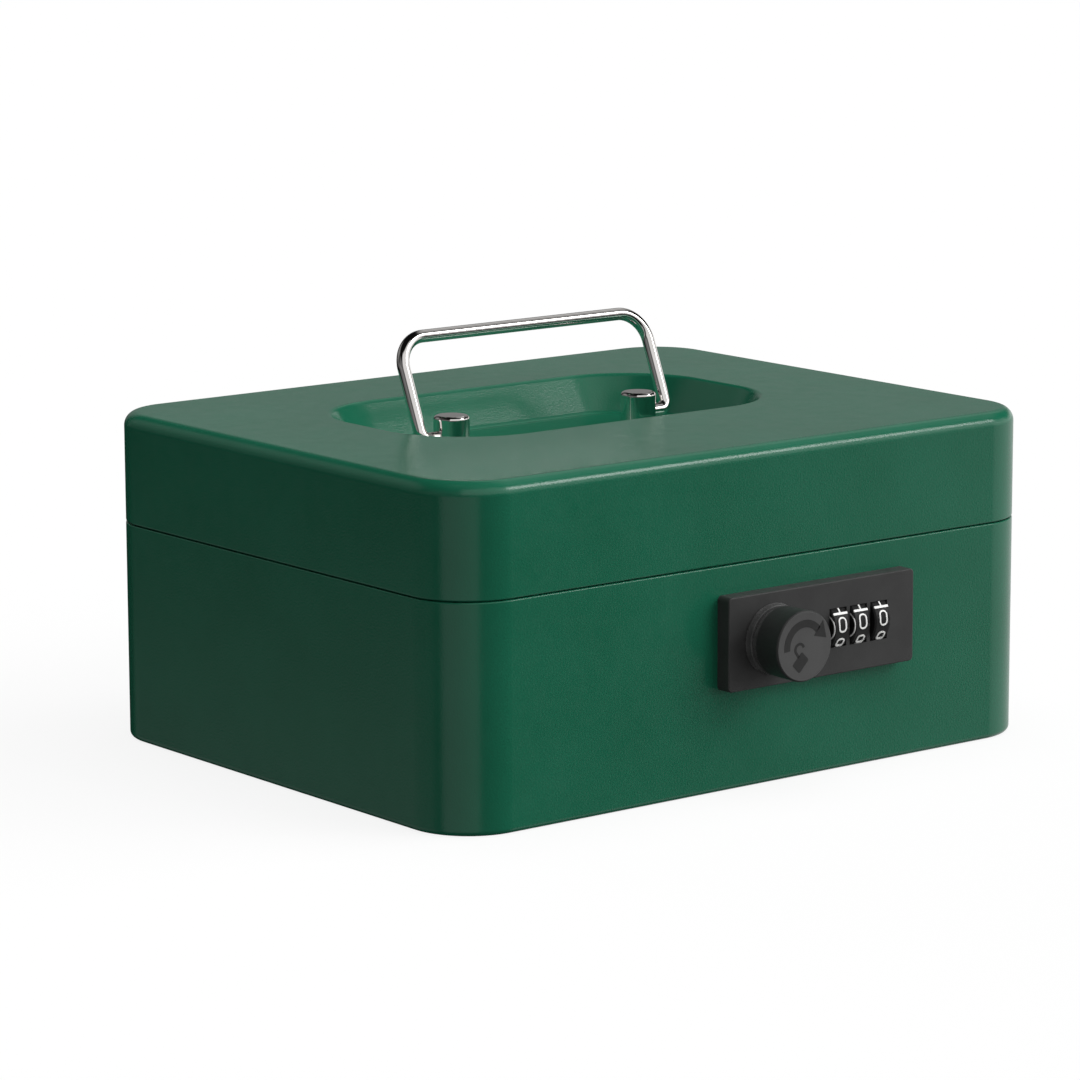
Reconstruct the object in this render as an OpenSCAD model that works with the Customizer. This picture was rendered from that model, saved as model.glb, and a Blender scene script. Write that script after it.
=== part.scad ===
// Small steel cash box: a drawn base and lid, a folding wire handle in a
// pressed well, a lift-out coin tray and a three-wheel combination lock.
// Millimetres. X runs right along the front, Y runs to the back, Z runs up.
// The origin is the centre of the underside.

/* [Box] */
// Outside width along the front
box_w = 200; // [190:1:230]
// Outside depth from front to back
box_d = 160; // [150:1:190]
// Height of the seam above the underside
base_h = 60; // [57:1:75]
// Height of the lid above the seam
lid_h = 30; // [27:1:36]
// Plan radius of the upright corners
corner_r = 18; // [14:1:22]
// Thickness of the drawn steel sheet
sheet = 1; // [0.8:0.1:1.2]
// Outside radius of the lid's top edge
top_edge_r = 3.8; // [2.5:0.1:5]
// Outside radius of the base's bottom edge
bottom_edge_r = 1.6; // [1.4:0.1:3]
// Gap between the lid's edge and the base's edge
seam_gap = 0.3; // [0.2:0.05:0.5]

/* [Rim] */
// Thickness of the strip that forms the inner rim
rim_sheet = 0.8; // [0.6:0.1:1]
// Height of the rim above the seam
rim_rise = 7; // [4:0.5:8]
// Depth of the rim's welded foot below the seam
rim_foot = 7; // [5:0.5:7.5]
// Step inward that clears the lid's wall
rim_step = 0.6; // [0.5:0.1:1]

/* [Handle well] */
// Width of the well at the lid's top
well_w = 123; // [118:1:130]
// Front-to-back size of the well at the lid's top
well_d = 72; // [70:0.5:76]
// Distance of the well's centre behind the lid's centre
well_y = 9.5; // [6:0.25:10]
// Plan radius of the well's corners at the top
well_r = 27; // [20:1:28]
// Depth of the well's floor below the lid's top
well_depth = 10.3; // [9.6:0.1:11]
// Lean of the well's walls from upright, in degrees
well_lean = 33; // [25:1:35]
// Radius of the bends at the well's rim and floor
well_bend_r = 1.8; // [1.6:0.1:3]

/* [Handle] */
// Distance of each post from its end of the well
post_inset = 29; // [26:0.5:33]
// Distance of the posts behind the well's centre
post_back = 0.6; // [0:0.05:2]
// Radius of a post
post_r = 4.9; // [4:0.1:5.5]
// Height of a post above the well's floor
post_h = 10.4; // [8.5:0.1:11]
// Radius of the post's top edge
post_edge_r = 1.1; // [0.3:0.1:1.2]
// Height of the handle's pivot above the well's floor
pivot_h = 4.6; // [4.5:0.1:5.5]
// Radius of the handle wire
wire_r = 1.75; // [1.5:0.05:2]
// Radial clearance of a turning fit
turn_fit = 0.05; // [0.02:0.01:0.08]
// Distance of each handle leg outward from its post
leg_out = 10; // [9:0.25:12]
// Distance from the pivot to the middle of the handle's bar
handle_reach = 28.3; // [24:0.1:29]
// Bend radius at the ends of the handle's bar
bar_bend_r = 8.5; // [6:0.5:12]
// Bend radius at the handle's feet
foot_bend_r = 2.3; // [2.2:0.05:3]
// Lean of the handle towards the back, in degrees
handle_lean = 23; // [0:1:40]

/* [Hinges] */
// Distance of each hinge from the middle
hinge_x = 52; // [45:1:60]
// Length of a hinge along the seam
hinge_len = 26; // [20:1:32]
// Radius of the hinge pin
pin_r = 1.2; // [1:0.05:1.3]
// Outside radius of a hinge barrel
barrel_r = 2.4; // [2.3:0.1:2.6]
// Distance of the hinge axis outside the back wall
hinge_out = 0.6; // [0.4:0.1:1]
// Height of a hinge leaf
leaf_h = 16; // [12:1:20]

/* [Lock plate] */
// Width of the lock plate
plate_w = 64.5; // [62:0.5:66]
// Height of the lock plate
plate_h = 25; // [24:0.1:27]
// Thickness of the lock plate
plate_t = 4.5; // [4.4:0.1:5]
// Distance of the knob's axis from the plate's left edge
plate_left = 15; // [13:0.5:16]
// Corner radius of the lock plate
plate_r = 1.2; // [1:0.1:3]
// Radius of the plate's front edge
plate_edge_r = 0.4; // [0.3:0.1:0.9]
// Height of the lock's centre line above the underside
lock_z = 39.8; // [39:0.1:42]

/* [Knob] */
// Distance of the knob's axis from the box's middle, to the right
knob_x = 0; // [-10:0.5:10]
// Radius of the knob
knob_r = 9.4; // [8.5:0.05:9.6]
// Length of the knob
knob_len = 8.8; // [8:0.1:12]
// Radius of the raised collar under the knob
collar_r = 9.5; // [9:0.1:10]
// Height of the raised collar
collar_h = 3.4; // [1.2:0.1:4]
// Radius of the knob's spindle
spindle_r = 2.5; // [2.3:0.1:2.6]

/* [Number wheels] */
// Distance of the first wheel from the knob's axis
wheel_first = 22.6; // [22:0.1:23]
// Distance from one wheel to the next
wheel_pitch = 7.2; // [7.1:0.05:7.4]
// Radius of a number wheel
wheel_r = 7; // [6.8:0.1:7.2]
// Width of a number wheel
wheel_w = 5.4; // [5:0.1:5.5]
// Height that a wheel stands out of the plate
wheel_proud = 1.9; // [1.8:0.1:2.5]
// Clearance beside and round a wheel in its slot
slot_gap = 0.3; // [0.25:0.05:0.4]

/* [Code bar] */
// Radius of the code bar's rod
rod_r = 1.5; // [1.3:0.1:1.6]
// Reach of a code bar tooth from the rod's axis
tooth_reach = 3.2; // [2.8:0.1:3.4]
// Length of a code bar tooth along the rod
tooth_len = 1; // [0.8:0.1:1.2]
// Thickness of the gated web inside a number wheel
web = 1.2; // [1:0.1:1.4]
// Radius of the hollow inside a number wheel
hollow_r = 4.6; // [4.2:0.1:5]
// Teeth of a full pinion
pinion_teeth = 8; // [8:1:9]
// Module of the pinion and rack
gear_module = 1; // [0.95:0.05:1]

/* [Lock housing] */
// Depth of the lock housing behind the front wall
housing_d = 13; // [12.5:0.5:14]
// Wall thickness of the lock housing
housing_wall = 1.5; // [1.2:0.1:1.8]
// Radius of the lock screws
screw_r = 1.3; // [1.2:0.05:1.4]
// Length of the locking cam from the knob's axis
cam_len = 25; // [23:0.5:26]
// Width of the locking cam
cam_w = 8; // [7:0.5:9]
// Thickness of the locking cam
cam_t = 2; // [1.6:0.1:2.2]
// Width of the lid's strike
strike_w = 9; // [8:0.5:10]
// Thickness of the lid's strike
strike_t = 1.5; // [1.2:0.1:1.8]

/* [Coin tray] */
// Height of the coin tray
tray_h = 26; // [20:1:30]
// Wall thickness of the coin tray
tray_wall = 1.6; // [1.4:0.1:2]
// Plan radius of the coin tray's corners
tray_r = 20; // [15:1:24]
// Height of the ledges that carry the tray
ledge_z = 31; // [28:1:32]
// Width of a ledge
ledge_w = 8; // [6:0.5:10]
// Number of small compartments in the front row
front_cells = 4; // [3:1:5]
// Front-to-back size of the front row's compartments
front_row = 62; // [50:1:75]

/* [Hidden] */
$fn = 72;

// Clearances: between bodies, round a bolt in its hole, and in a press fit.
// "over" is how far a cut runs past the face that it opens.
body_gap = 0.3;
slip = 0.05;
press = 0.02;
over = 1;

// Box
box_h = base_h + lid_h;
straight_x = box_w - 2 * corner_r;
straight_y = box_d - 2 * corner_r;
front_y = -box_d / 2;
back_y = box_d / 2;
base_top = base_h - seam_gap / 2;
lid_bottom = base_h + seam_gap / 2;
bend_steps = 8;

// Rim profile, as distances out from the straight sides' rectangle and heights
rim_foot_x = corner_r - sheet;
rim_wall_x = rim_foot_x - rim_step;
rim_low = base_h - rim_foot;
rim_top = base_h + rim_rise;
rim_bend_low = base_h - 2;
rim_bend_high = base_h - 0.5;

// Handle well
well_floor = box_h - well_depth;
rim_bend = [well_r, box_h - well_bend_r];
rim_end = rim_bend + well_bend_r * [-cos(well_lean), sin(well_lean)];
floor_start_z = well_floor + well_bend_r * (1 - sin(well_lean));
floor_start_x = rim_end.x - tan(well_lean) * (rim_end.y - floor_start_z);
floor_bend = [floor_start_x - well_bend_r * cos(well_lean), well_floor + well_bend_r];

// Handle
post_x = well_w / 2 - post_inset;
leg_x = post_x + leg_out;
post_y = well_y + post_back;
pivot_z = well_floor + pivot_h;
post_bore_depth = 1.5;
foot_end = post_x - post_bore_depth + body_gap;
stud_r = 2;
stud_end = 0.6;
washer_t = 0.8;
washer_r = 4.5;
nut_t = 2.4;
nut_r = 3.9;
washer_z = well_floor - sheet - washer_t;
nut_z = washer_z - nut_t;
stud_bottom = nut_z - stud_end;

// Hinges
hinge_y = back_y + hinge_out;
leaf_t = 1;
leaf_out = back_y - sheet;
leaf_clear = barrel_r + body_gap;
pin_head_rise = 0.6;
pin_head_r = pin_r + pin_head_rise;
pin_head_t = 0.8;
notch_gap = 0.5;
notch_w = hinge_len + 2 * (pin_head_t + notch_gap);
notch_h = barrel_r + 0.6;
knuckle = hinge_len / 3;
stop_reach = 4;
stop_rise = 0.8;
stop_t = 1.2;
stop_start = pin_r + 0.5;

// Lock plate
plate_x0 = knob_x - plate_left;
plate_x1 = plate_x0 + plate_w;
plate_face = front_y - plate_t;
plate_skin = 2.2;
pocket_half = wheel_r + 0.6;
collar_bore = spindle_r + 0.6;
collar_edge = 0.5;

// Pinion, rack and code bar
pitch_r = gear_module * pinion_teeth / 2;
pressure_angle = 28;
base_r = pitch_r * cos(pressure_angle);
addendum = 0.8 * gear_module;
dedendum = 1.05 * gear_module;
backlash = 0.16;
tooth_pitch = PI * gear_module;
pinion_root = pitch_r - dedendum;
flank_steps = 5;
roll_top = sqrt(pow((pitch_r + addendum) / base_r, 2) - 1) * 180 / PI;
roll_pitch = tan(pressure_angle) * 180 / PI;
flank_turn = roll_pitch - pressure_angle + (90 - backlash / pitch_r * 90 / PI) / pinion_teeth;
travel = pitch_r * PI / 2;
rack_teeth = 4;
wheel_y = plate_face - wheel_proud + wheel_r;
wheel_x = [for (i = [0:2]) knob_x + wheel_first + i * wheel_pitch];
digits = 10;
wheel_edge = 0.4;
gate_w = 2.2;
gate_reach = tooth_reach + 0.5;
dimple_r = 0.75;
dimple_depth = 1.1;
dimple_out = wheel_r + 0.3;
cheek_gap = 0.25;
cheek_t = 2.2;
tooth_side = (travel + tooth_len) / 2;
left_cheek = wheel_x[0] - max(tooth_side, wheel_w / 2) - cheek_gap - cheek_t;
right_cheek = wheel_x[2] + max(tooth_side, wheel_w / 2) + cheek_gap;
rod_past = 1;
rod_end = right_cheek + rod_past + travel;
arm_t = 2.2;
arm_x = left_cheek - body_gap - arm_t;
arm_relief = 0.5;
rod_bore = rod_r + slip;
tooth_w = 1.6;
bar_t = 1.55;
bar_root = lock_z + pitch_r + dedendum;
bar_top = bar_root + bar_t;

// Lock housing
wall_in = front_y + sheet;
housing_back = wall_in + housing_d;
housing_x0 = plate_x0 + 1.5;
housing_x1 = rod_end + body_gap + housing_wall;
housing_half = plate_h / 2 - 0.8;
housing_low = lock_z - housing_half;
screw_inset = 4;
screw_x = [plate_x0 + screw_inset, plate_x1 - screw_inset];
screw_dz = housing_half - 2.2;
screw_skin = 1.2;
screw_bite = plate_t - screw_skin;
screw_head_r = screw_r + 1.1;
screw_head_t = 1.6;
column_r = screw_r + 1;
gear_back = housing_back - housing_wall - body_gap;
gear_w = 3;
opening_half = wheel_r + 0.9;
opening_x0 = knob_x - spindle_r - 3;
opening_x1 = right_cheek + 0.7;
rod_boss_half = rod_r + 1;
rod_slot_half = rod_boss_half + body_gap;
rib_t = 1.2;
rib_y = wheel_y + tooth_reach + body_gap;
rib_rise = 0.6;
guide_past = 3;

// Detent spring: a flange on the housing's floor and a finger for each wheel
spring_t = 0.4;
spring_flange = 4;
finger_y = wheel_y + wheel_r + 0.7;
finger_w = 3;
finger_rise = 0.8;
finger_tip_r = 0.45;

// Spindle and cam
square_side = spindle_r * 1.4;
thread_r = square_side / 2 - slip;
cam_gap = 0.4;
cam_front = housing_back + screw_head_t + cam_gap;
cam_back = cam_front + cam_t;
cam_hub_r = cam_w * 0.8;
cam_washer_t = 0.8;
cam_washer_r = square_side + 0.6;
cam_nut_t = 2.4;
cam_nut_r = thread_r * 1.95;
spindle_end = 0.5;
spindle_back = cam_back + cam_washer_t + cam_nut_t + spindle_end;
knob_back = plate_face - collar_h - body_gap;
knob_face = knob_back - knob_len;
knob_edge_r = 0.8;
knob_ease = 0.4;
knob_cap_t = 3;
spindle_front = knob_face + knob_cap_t;
socket_depth = knob_back - spindle_front + 0.1;

// Strike: a foot on the lid's wall, a shelf over the rim and a ledge under the cam
strike_gap = 0.5;
strike_foot_h = 11;
strike_y = cam_front - 2.6 - strike_t;
strike_x = knob_x - cam_len + strike_gap;
strike_ledge = lock_z - cam_w / 2 - strike_gap;
strike_shelf = rim_top + 1;
strike_reach = cam_back + strike_gap;

// Coin tray and its ledges
ledge_t = 1;
ledge_leg = 10;
ledge_inset = 12;
ledge_len = straight_y - 2 * ledge_inset;
tray_gap = 1.2;
tray_clear = 1.8;
tray_half = box_w / 2 - sheet - rim_step - rim_sheet - tray_gap;
tray_front = spindle_back + tray_clear;
tray_back = leaf_out - leaf_t - tray_gap;
tray_d = tray_back - tray_front;
tray_z = ledge_z + body_gap;
divider_t = 1.4;
divider_drop = 3;
divider_y = tray_front + tray_wall + front_row;
inner_w = 2 * (tray_half - tray_wall);
cell_w = (inner_w - (front_cells - 1) * divider_t) / front_cells;
grip_r = 12;

// Points on an arc round a centre, from one angle to another
function arc(centre, r, from, to) =
    [for (i = [0:bend_steps]) centre + r * [
        cos(from + (to - from) * i / bend_steps), sin(from + (to - from) * i / bend_steps)]];

// Sweeps a profile round a rectangle of straight sides a by b. The profile's X
// is the distance outward from the rectangle and its Y is the height.
module sweep(a, b) {
    for (turn = [0, 180]) rotate([0, 0, turn]) {
        translate([-a / 2, b / 2, 0]) rotate([90, 0, 90]) linear_extrude(a) children();
        translate([a / 2, b / 2, 0]) rotate([90, 0, 0]) linear_extrude(b) children();
        translate([a / 2, b / 2, 0]) rotate_extrude(angle = 90) children();
        translate([-a / 2, b / 2, 0]) rotate([0, 0, 90]) rotate_extrude(angle = 90) children();
    }
}

// Sweeps a profile along the front, round two corners and along both sides
module sweep_front(a, b) {
    translate([a / 2, -b / 2, 0]) rotate([90, 0, -90]) linear_extrude(a) children();
    translate([a / 2, b / 2, 0]) rotate([90, 0, 0]) linear_extrude(b) children();
    translate([-a / 2, -b / 2, 0]) rotate([90, 0, 180]) linear_extrude(b) children();
    translate([a / 2, -b / 2, 0]) rotate([0, 0, -90]) rotate_extrude(angle = 90) children();
    translate([-a / 2, -b / 2, 0]) rotate([0, 0, 180]) rotate_extrude(angle = 90) children();
}

// A plate centred in plan, from z = low to z = high
module plate(w, d, low, high) {
    translate([-w / 2, -d / 2, low]) cube([w, d, high - low]);
}

// A rounded slab with an eased top edge
module slab(w, d, h, r, edge) {
    sweep(w - 2 * r, d - 2 * r)
        polygon(concat([[0, 0], [r, 0]], arc([r - edge, h - edge], edge, 0, 90), [[0, h]]));
    plate(w - 2 * r, d - 2 * r, 0, h);
}

// A cylinder that starts at y = from and runs back to y = to
module rod_y(x, z, r, from, to) {
    translate([x, to, z]) rotate([90, 0, 0]) cylinder(r = r, h = to - from);
}

// A cylinder that runs right from x = from to x = to
module rod_x(y, z, r, from, to) {
    translate([from, y, z]) rotate([0, 90, 0]) cylinder(r = r, h = to - from);
}

// Opening in the front wall that the lock's wheels, spindle and rod pass through
module lock_opening(from, to) {
    translate([opening_x0, from, lock_z - opening_half])
        cube([opening_x1 - opening_x0, to - from, 2 * opening_half]);
    translate([opening_x1 - over, from, lock_z - rod_slot_half])
        cube([rod_end + body_gap + over - opening_x1, to - from, 2 * rod_slot_half]);
}

// Holes at the four lock screws, of radius r
module screw_holes(r, from, to) {
    for (x = screw_x, side = [-1, 1]) rod_y(x, lock_z + side * screw_dz, r, from, to);
}

// Notches in a back wall that let the hinge barrels through
module hinge_notches(low, high) {
    for (side = [-1, 1]) translate([side * hinge_x - notch_w / 2, leaf_out - over, low])
        cube([notch_w, sheet + 2 * over, high - low]);
}

module base_shell() color("#14573f") difference() {
    union() {
        sweep(straight_x, straight_y) polygon(concat(
            [[corner_r, base_top]],
            arc([corner_r - bottom_edge_r, bottom_edge_r], bottom_edge_r, 0, -90),
            [[0, 0], [0, sheet]],
            arc([corner_r - bottom_edge_r, bottom_edge_r], bottom_edge_r - sheet, -90, 0),
            [[corner_r - sheet, base_top]]));
        plate(straight_x, straight_y, 0, sheet);
    }
    lock_opening(front_y - over, wall_in + over);
    screw_holes(screw_r + slip, front_y - over, wall_in + over);
    hinge_notches(base_h - notch_h, base_h + over);
}

module base_rim() color("#14573f")
    sweep_front(straight_x, straight_y) polygon([
        [rim_foot_x, rim_low],
        [rim_foot_x, rim_bend_low],
        [rim_wall_x, rim_bend_high],
        [rim_wall_x, rim_top],
        [rim_wall_x - rim_sheet, rim_top],
        [rim_wall_x - rim_sheet, rim_bend_high],
        [rim_foot_x - rim_sheet, rim_bend_low],
        [rim_foot_x - rim_sheet, rim_low]]);

// Angle strips, each with its leg down the side wall and its shelf inward
module tray_ledges() color("#14573f")
    for (side = [-1, 1]) mirror([side > 0 ? 1 : 0, 0, 0])
        translate([sheet - box_w / 2, ledge_len / 2, 0]) rotate([90, 0, 0])
            linear_extrude(ledge_len) polygon([
                [0, ledge_z - ledge_leg], [ledge_t, ledge_z - ledge_leg], [ledge_t, ledge_z - ledge_t],
                [ledge_w, ledge_z - ledge_t], [ledge_w, ledge_z], [0, ledge_z]]);

// A hinge leaf with its barrel on the stretches of the given spans. The leaf
// hangs down for dir = -1 and stands up for dir = 1.
module hinge_leaf(x, dir, spans) difference() {
    union() {
        translate([x - hinge_len / 2, leaf_out - leaf_t, base_h])
            mirror([0, 0, dir < 0 ? 1 : 0]) translate([0, 0, leaf_clear])
                cube([hinge_len, leaf_t, leaf_h - leaf_clear]);
        for (span = spans) {
            translate([x + span[0], leaf_out - leaf_t, base_h])
                mirror([0, 0, dir < 0 ? 1 : 0]) translate([0, 0, seam_gap / 2])
                    cube([span[1] - span[0], leaf_t, leaf_clear]);
            rod_x(hinge_y, base_h, barrel_r, x + span[0], x + span[1]);
        }
    }
    rod_x(hinge_y, base_h, pin_r + turn_fit, x - hinge_len, x + hinge_len);
}

module hinge_base_leaf(x) color("#14573f") hinge_leaf(x, -1, [
    [-hinge_len / 2, -knuckle / 2 - body_gap / 2], [knuckle / 2 + body_gap / 2, hinge_len / 2]]);

// The lug on the lid's barrel stops the open lid against the back wall
module hinge_lid_leaf(x) color("#14573f") {
    half = knuckle / 2 - body_gap / 2;
    hinge_leaf(x, 1, [[-half, half]]);
    translate([x - half, hinge_y + stop_start, base_h + stop_rise])
        cube([2 * half, stop_reach - stop_start, stop_t]);
}

module hinge_pin(x) color("silver") {
    rod_x(hinge_y, base_h, pin_r, x - hinge_len / 2, x + hinge_len / 2);
    rod_x(hinge_y, base_h, pin_head_r, x - hinge_len / 2 - pin_head_t, x - hinge_len / 2);
    rod_x(hinge_y, base_h, pin_head_r, x + hinge_len / 2, x + hinge_len / 2 + pin_head_t);
}

module lock_plate() color("#2b2b2b") difference() {
    translate([(plate_x0 + plate_x1) / 2, front_y, lock_z]) rotate([90, 0, 0])
        slab(plate_w, plate_h, plate_t, plate_r, plate_edge_r);
    translate([arm_x - travel - body_gap, plate_face + plate_skin, lock_z - pocket_half])
        cube([opening_x1 - arm_x + travel, plate_t - plate_skin + over, 2 * pocket_half]);
    translate([opening_x1 - over, plate_face + plate_skin, lock_z - rod_slot_half])
        cube([rod_end + body_gap + over - opening_x1, plate_t, 2 * rod_slot_half]);
    for (x = wheel_x) rod_x(wheel_y, lock_z, wheel_r + slot_gap,
        x - wheel_w / 2 - slot_gap, x + wheel_w / 2 + slot_gap);
    rod_y(knob_x, lock_z, spindle_r + turn_fit, plate_face - over, front_y + over);
    screw_holes(screw_r + slip, front_y - screw_bite, front_y + over);
}

module knob_collar() color("#2b2b2b")
    translate([knob_x, plate_face, lock_z]) rotate([90, 0, 0]) rotate_extrude() polygon([
        [collar_bore, 0], [collar_r, 0], [collar_r, collar_h - collar_edge],
        [collar_r - collar_edge, collar_h], [collar_bore, collar_h]]);

module lock_housing() color("#3a3a3a") difference() {
    union() {
        difference() {
            translate([housing_x0, wall_in, housing_low])
                cube([housing_x1 - housing_x0, housing_d, 2 * housing_half]);
            translate([housing_x0 + housing_wall, wall_in - over, housing_low + housing_wall])
                cube([housing_x1 - housing_x0 - 2 * housing_wall, housing_d - housing_wall + over,
                    2 * (housing_half - housing_wall)]);
        }
        for (x = screw_x, side = [-1, 1])
            rod_y(x, lock_z + side * screw_dz, column_r, wall_in, housing_back);
        // Cheeks and their bosses, which carry the code bar's rod
        for (x = [left_cheek, right_cheek]) {
            translate([x, wall_in, housing_low + housing_wall / 2])
                cube([cheek_t, housing_d - housing_wall / 2, 2 * housing_half - housing_wall]);
            translate([x, wheel_y - rod_boss_half, lock_z - rod_boss_half])
                cube([cheek_t, wall_in - wheel_y + rod_boss_half + over, 2 * rod_boss_half]);
        }
        // Ribs between the wheels
        for (i = [0:1])
            translate([(wheel_x[i] + wheel_x[i + 1] - rib_t) / 2, rib_y,
                    housing_low + housing_wall + rib_rise])
                cube([rib_t, housing_back - housing_wall / 2 - rib_y,
                    2 * (housing_half - housing_wall) - rib_rise]);
        // Guide above the rack
        translate([knob_x - guide_past, gear_back - gear_w, bar_top + body_gap])
            cube([arm_x - knob_x, gear_w + body_gap + housing_wall / 2,
                housing_low + 2 * housing_half - bar_top - body_gap - housing_wall / 2]);
    }
    rod_y(knob_x, lock_z, spindle_r + turn_fit, housing_back - housing_wall - over,
        housing_back + over);
    screw_holes(screw_r + slip, wall_in - over, housing_back + over);
    rod_x(wheel_y, lock_z, rod_bore, left_cheek - over, right_cheek + cheek_t + over);
}

module lock_screws() color("silver") for (x = screw_x, side = [-1, 1]) {
    rod_y(x, lock_z + side * screw_dz, screw_r, front_y - screw_bite + body_gap, housing_back);
    rod_y(x, lock_z + side * screw_dz, screw_head_r, housing_back, housing_back + screw_head_t);
}

module detent_spring() color("silver") {
    low = housing_low + housing_wall;
    translate([wheel_x[0] - wheel_w / 2, finger_y - spring_flange, low])
        cube([wheel_x[2] - wheel_x[0] + wheel_w, spring_flange + spring_t, spring_t]);
    for (x = wheel_x) {
        translate([x - finger_w / 2, finger_y, low])
            cube([finger_w, spring_t, lock_z - low + finger_rise]);
        rod_x(finger_y, lock_z, finger_tip_r, x - finger_w / 2, x + finger_w / 2);
    }
}

module lid_shell() color("#14573f") {
    difference() {
        union() {
            sweep(straight_x, straight_y) polygon(concat(
                [[corner_r, lid_bottom]],
                arc([corner_r - top_edge_r, box_h - top_edge_r], top_edge_r, 0, 90),
                [[0, box_h], [0, box_h - sheet]],
                arc([corner_r - top_edge_r, box_h - top_edge_r], top_edge_r - sheet, 90, 0),
                [[corner_r - sheet, lid_bottom]]));
            plate(straight_x, straight_y, box_h - sheet, box_h);
        }
        translate([0, well_y, box_h - sheet - over]) linear_extrude(sheet + 2 * over) {
            square([well_w - 2 * well_r, well_d], center = true);
            square([well_w, well_d - 2 * well_r], center = true);
            for (x = [-1, 1], y = [-1, 1])
                translate([x * (well_w / 2 - well_r), y * (well_d / 2 - well_r)]) circle(r = well_r);
        }
        hinge_notches(base_h - over, base_h + notch_h);
    }
    difference() {
        translate([0, well_y, 0]) {
            sweep(well_w - 2 * well_r, well_d - 2 * well_r) polygon(concat(
                [[well_r + over, box_h]],
                arc(rim_bend, well_bend_r, 90, 180 - well_lean),
                arc(floor_bend, well_bend_r, -well_lean, -90),
                [[0, well_floor], [0, well_floor - sheet]],
                arc(floor_bend, well_bend_r + sheet, -90, -well_lean),
                arc(rim_bend, well_bend_r - sheet, 180 - well_lean, 90),
                [[well_r + over, box_h - sheet]]));
            plate(well_w - 2 * well_r, well_d - 2 * well_r, well_floor - sheet, well_floor);
        }
        for (x = [-post_x, post_x]) translate([x, post_y, well_floor - sheet - over])
            cylinder(r = stud_r + slip, h = sheet + 2 * over);
    }
}

module lid_strike() color("silver")
    translate([strike_x, 0, 0]) rotate([90, 0, 90]) linear_extrude(strike_w) polygon([
        [wall_in, strike_shelf],
        [wall_in, strike_shelf + strike_foot_h],
        [wall_in + strike_t, strike_shelf + strike_foot_h],
        [wall_in + strike_t, strike_shelf + strike_t],
        [strike_y + strike_t, strike_shelf + strike_t],
        [strike_y + strike_t, strike_ledge],
        [strike_reach, strike_ledge],
        [strike_reach, strike_ledge - strike_t],
        [strike_y, strike_ledge - strike_t],
        [strike_y, strike_shelf]]);

module handle_post(side) color("gainsboro") difference() {
    translate([side * post_x, post_y, 0]) {
        translate([0, 0, well_floor]) rotate_extrude() polygon(concat(
            [[0, 0], [post_r, 0]],
            arc([post_r - post_edge_r, post_h - post_edge_r], post_edge_r, 0, 90),
            [[0, post_h]]));
        translate([0, 0, stud_bottom]) cylinder(r = stud_r, h = well_floor - stud_bottom + over);
    }
    translate([side * (post_x - post_bore_depth), post_y, pivot_z])
        rotate([0, side * 90, 0]) cylinder(r = wire_r + turn_fit, h = post_r + post_bore_depth + over);
}

module post_washers() color("silver") for (x = [-post_x, post_x])
    translate([x, post_y, washer_z]) difference() {
        cylinder(r = washer_r, h = washer_t);
        translate([0, 0, -over]) cylinder(r = stud_r + slip, h = washer_t + 2 * over);
    }

module post_nuts() color("silver") for (x = [-post_x, post_x])
    translate([x, post_y, nut_z]) difference() {
        cylinder(r = nut_r, h = nut_t, $fn = 6);
        translate([0, 0, -over]) cylinder(r = stud_r + slip, h = nut_t + 2 * over);
    }

// The bail, upright about its pivot, then leant to the back
module handle_bail() color("gainsboro")
    translate([0, post_y, pivot_z]) rotate([-handle_lean, 0, 0]) {
        leg_foot = leg_x - foot_bend_r;
        bar_end = leg_x - bar_bend_r;
        rod_x(0, handle_reach, wire_r, -bar_end, bar_end);
        for (side = [-1, 1]) mirror([side < 0 ? 1 : 0, 0, 0]) {
            rod_x(0, 0, wire_r, foot_end, leg_foot);
            translate([leg_foot, 0, foot_bend_r]) rotate([90, 0, 0])
                rotate([0, 0, -90]) rotate_extrude(angle = 90)
                    translate([foot_bend_r, 0]) circle(r = wire_r);
            translate([leg_x, 0, foot_bend_r])
                cylinder(r = wire_r, h = handle_reach - bar_bend_r - foot_bend_r);
            translate([bar_end, 0, handle_reach - bar_bend_r]) rotate([90, 0, 0])
                rotate_extrude(angle = 90) translate([bar_bend_r, 0]) circle(r = wire_r);
        }
    }

module number_wheel(x) color("#1c1c1c")
    translate([x, wheel_y, lock_z]) rotate([90, 0, 90]) difference() {
        translate([0, 0, -wheel_w / 2]) rotate_extrude() polygon([
            [rod_bore, (wheel_w - web) / 2], [hollow_r, (wheel_w - web) / 2], [hollow_r, 0],
            [wheel_r - wheel_edge, 0], [wheel_r, wheel_edge],
            [wheel_r, wheel_w - wheel_edge], [wheel_r - wheel_edge, wheel_w],
            [hollow_r, wheel_w], [hollow_r, (wheel_w + web) / 2], [rod_bore, (wheel_w + web) / 2]]);
        // Gate that the code bar's tooth passes through
        translate([0, -gate_w / 2, -web / 2 - over]) cube([gate_reach, gate_w, web + 2 * over]);
        // Finger notches between the digits
        for (i = [0:digits - 1]) rotate([0, 0, i * 360 / digits])
            translate([dimple_out, 0, wheel_w / 2 - dimple_depth])
                cylinder(r = dimple_r, h = dimple_depth + over);
    }

module knob() color("#3c3c3c") translate([knob_x, knob_back, lock_z]) rotate([90, 0, 0])
    rotate_extrude() polygon(concat(
        [[spindle_r + press, 0], [knob_r - knob_ease, 0], [knob_r, knob_ease]],
        arc([knob_r - knob_edge_r, knob_len - knob_edge_r], knob_edge_r, 0, 90),
        [[0, knob_len], [0, socket_depth], [spindle_r + press, socket_depth]]));

// The involute of the base circle at roll angle t
function involute(t) = base_r * [cos(t) + t * PI / 180 * sin(t), sin(t) - t * PI / 180 * cos(t)];

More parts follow.
